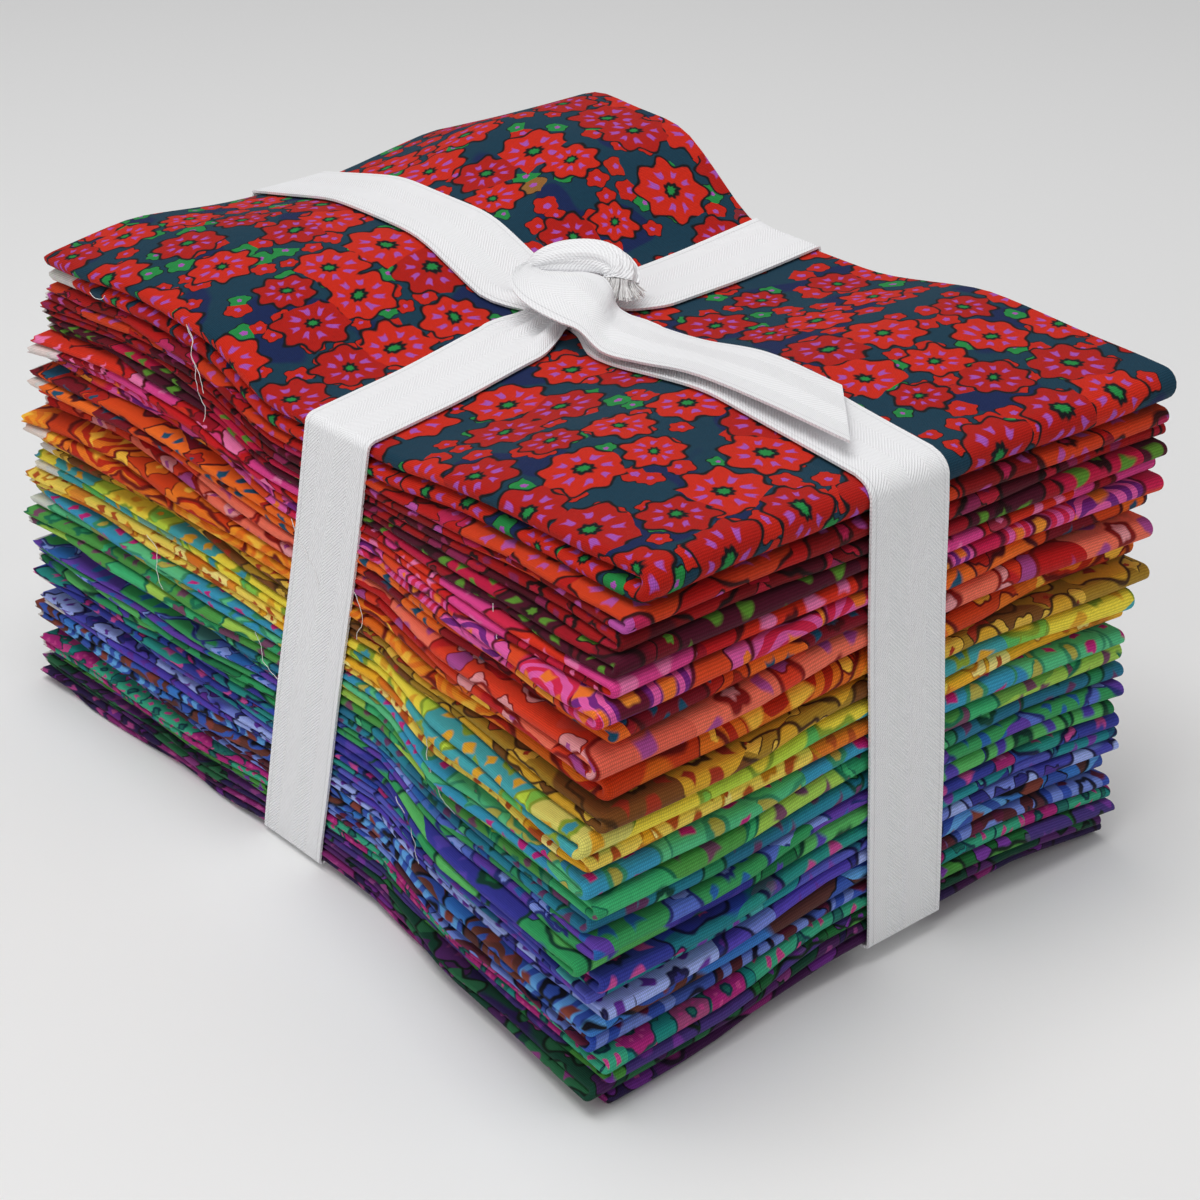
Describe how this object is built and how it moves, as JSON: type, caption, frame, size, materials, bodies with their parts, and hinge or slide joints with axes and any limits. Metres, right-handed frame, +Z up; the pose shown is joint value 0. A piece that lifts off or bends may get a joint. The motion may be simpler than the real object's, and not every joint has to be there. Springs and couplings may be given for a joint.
{
  "type": "fat quarter bundle",
  "caption": "Stack of folded cotton fat quarters held by a twill tape wrapped both ways round it and knotted on top, with one long free end.",
  "frame": {"origin": "under the middle of the whole part's box, on the surface it lies on", "axes": "+X along the short side of the stack, +Y along its long side, +Z up; the round folds face -Y, the ridges -X and the cut edges +X and +Y"},
  "size_m": [0.1696, 0.2336, 0.1342],
  "materials": {
    "fat_quarter_01": "printed plain-weave cotton",
    "fat_quarter_02": "printed plain-weave cotton",
    "fat_quarter_03": "printed plain-weave cotton",
    "fat_quarter_04": "printed plain-weave cotton",
    "fat_quarter_05": "printed plain-weave cotton",
    "fat_quarter_06": "printed plain-weave cotton",
    "fat_quarter_07": "printed plain-weave cotton",
    "fat_quarter_08": "printed plain-weave cotton",
    "fat_quarter_09": "printed plain-weave cotton",
    "fat_quarter_10": "printed plain-weave cotton",
    "fat_quarter_11": "printed plain-weave cotton",
    "fat_quarter_12": "printed plain-weave cotton",
    "fat_quarter_13": "printed plain-weave cotton",
    "fat_quarter_14": "printed plain-weave cotton",
    "fat_quarter_15": "printed plain-weave cotton",
    "fat_quarter_16": "printed plain-weave cotton",
    "fat_quarter_17": "printed plain-weave cotton",
    "fat_quarter_18": "printed plain-weave cotton",
    "fat_quarter_19": "printed plain-weave cotton",
    "fat_quarter_20": "printed plain-weave cotton",
    "fat_quarter_21": "printed plain-weave cotton",
    "fat_quarter_22": "printed plain-weave cotton",
    "fat_quarter_23": "printed plain-weave cotton",
    "fat_quarter_24": "printed plain-weave cotton",
    "fat_quarter_25": "printed plain-weave cotton",
    "fat_quarter_26": "printed plain-weave cotton",
    "twill_tape": "white herringbone twill"
  },
  "bodies": {
    "root": {"fat_quarter_01": "fat_quarter_01", "fat_quarter_02": "fat_quarter_02", "fat_quarter_03": "fat_quarter_03", "fat_quarter_04": "fat_quarter_04", "fat_quarter_05": "fat_quarter_05", "fat_quarter_06": "fat_quarter_06", "fat_quarter_07": "fat_quarter_07", "fat_quarter_08": "fat_quarter_08", "fat_quarter_09": "fat_quarter_09", "fat_quarter_10": "fat_quarter_10", "fat_quarter_11": "fat_quarter_11", "fat_quarter_12": "fat_quarter_12", "fat_quarter_13": "fat_quarter_13", "fat_quarter_14": "fat_quarter_14", "fat_quarter_15": "fat_quarter_15", "fat_quarter_16": "fat_quarter_16", "fat_quarter_17": "fat_quarter_17", "fat_quarter_18": "fat_quarter_18", "fat_quarter_19": "fat_quarter_19", "fat_quarter_20": "fat_quarter_20", "fat_quarter_21": "fat_quarter_21", "fat_quarter_22": "fat_quarter_22", "fat_quarter_23": "fat_quarter_23", "fat_quarter_24": "fat_quarter_24", "fat_quarter_25": "fat_quarter_25", "fat_quarter_26": "fat_quarter_26", "tape_wrap_long": "twill_tape", "tape_wrap_short": "twill_tape", "tape_knot": "twill_tape", "tape_end_long": "twill_tape", "tape_end_short": "twill_tape"}
  },
  "joints": []
}
